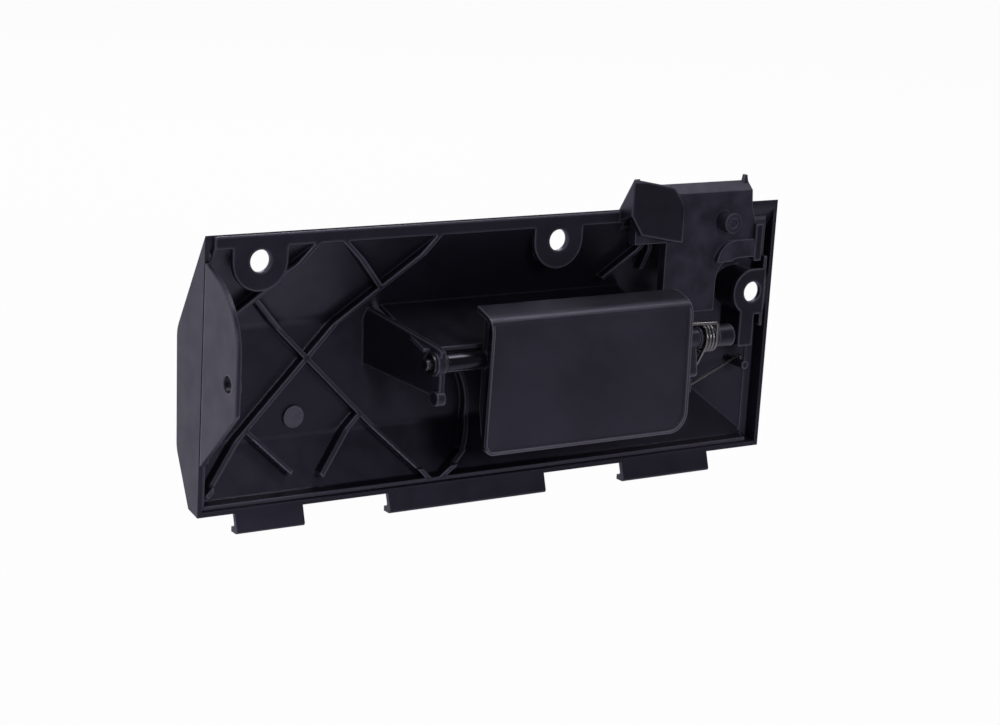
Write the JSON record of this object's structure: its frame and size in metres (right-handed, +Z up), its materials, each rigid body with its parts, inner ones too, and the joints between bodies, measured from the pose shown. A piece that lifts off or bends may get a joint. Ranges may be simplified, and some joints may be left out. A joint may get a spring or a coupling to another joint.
{
  "type": "glove compartment lid handle",
  "caption": "Glove compartment lid handle: trim panel with a ribbed rear carrier, screw ears and bottom hooks, a sprung finger paddle on a shaft and a sliding latch bolt with a ramped top.",
  "frame": {"origin": "middle between the two upper screw holes, on the rear seat face of their ears", "axes": "+X along the rim towards the latch, +Y towards the trim front, +Z up towards the bolt's tip"},
  "size_m": [0.2399, 0.0451, 0.1161],
  "materials": {
    "cover_plastic": "fine satin grain, black",
    "carrier_plastic": "matt moulded, black",
    "paddle_plastic": "smooth satin, black",
    "bolt_plastic": "matt moulded, black",
    "bush_plastic": "smooth, black",
    "steel": "drawn",
    "spring_steel": "bright drawn wire",
    "rubber": "matt"
  },
  "bodies": {
    "frame": {"front_cover": "cover_plastic", "carrier": "carrier_plastic", "left_bush": "bush_plastic", "right_bush": "bush_plastic", "bolt_spring": "spring_steel", "stop_buffers": "rubber", "return_spring": "spring_steel"},
    "paddle": {"paddle": "paddle_plastic", "pivot_shaft": "steel", "shaft_clip": "steel", "spring_sleeve": "carrier_plastic"},
    "bolt": {"latch_bolt": "bolt_plastic", "bolt_peg": "bolt_plastic"}
  },
  "joints": [
    {"name": "paddle_swing", "type": "hinge", "parent": "frame", "child": "paddle", "pos_m": [0.06045, -0.0176, -0.036], "axis": [1, 0, 0], "range_deg": [0, 28], "stiffness_Nm_per_rad": 0.12, "springref_deg": -20.05, "deforming": ["return_spring"]},
    {"name": "bolt_slide", "type": "slide", "parent": "frame", "child": "bolt", "axis": [0, 0, -1], "range_m": [0, 0.006], "deforming": ["bolt_spring"]}
  ],
  "couplings": [
    {"joint": "bolt_slide", "follows": "paddle_swing", "m_per_rad": 0.012277}
  ]
}
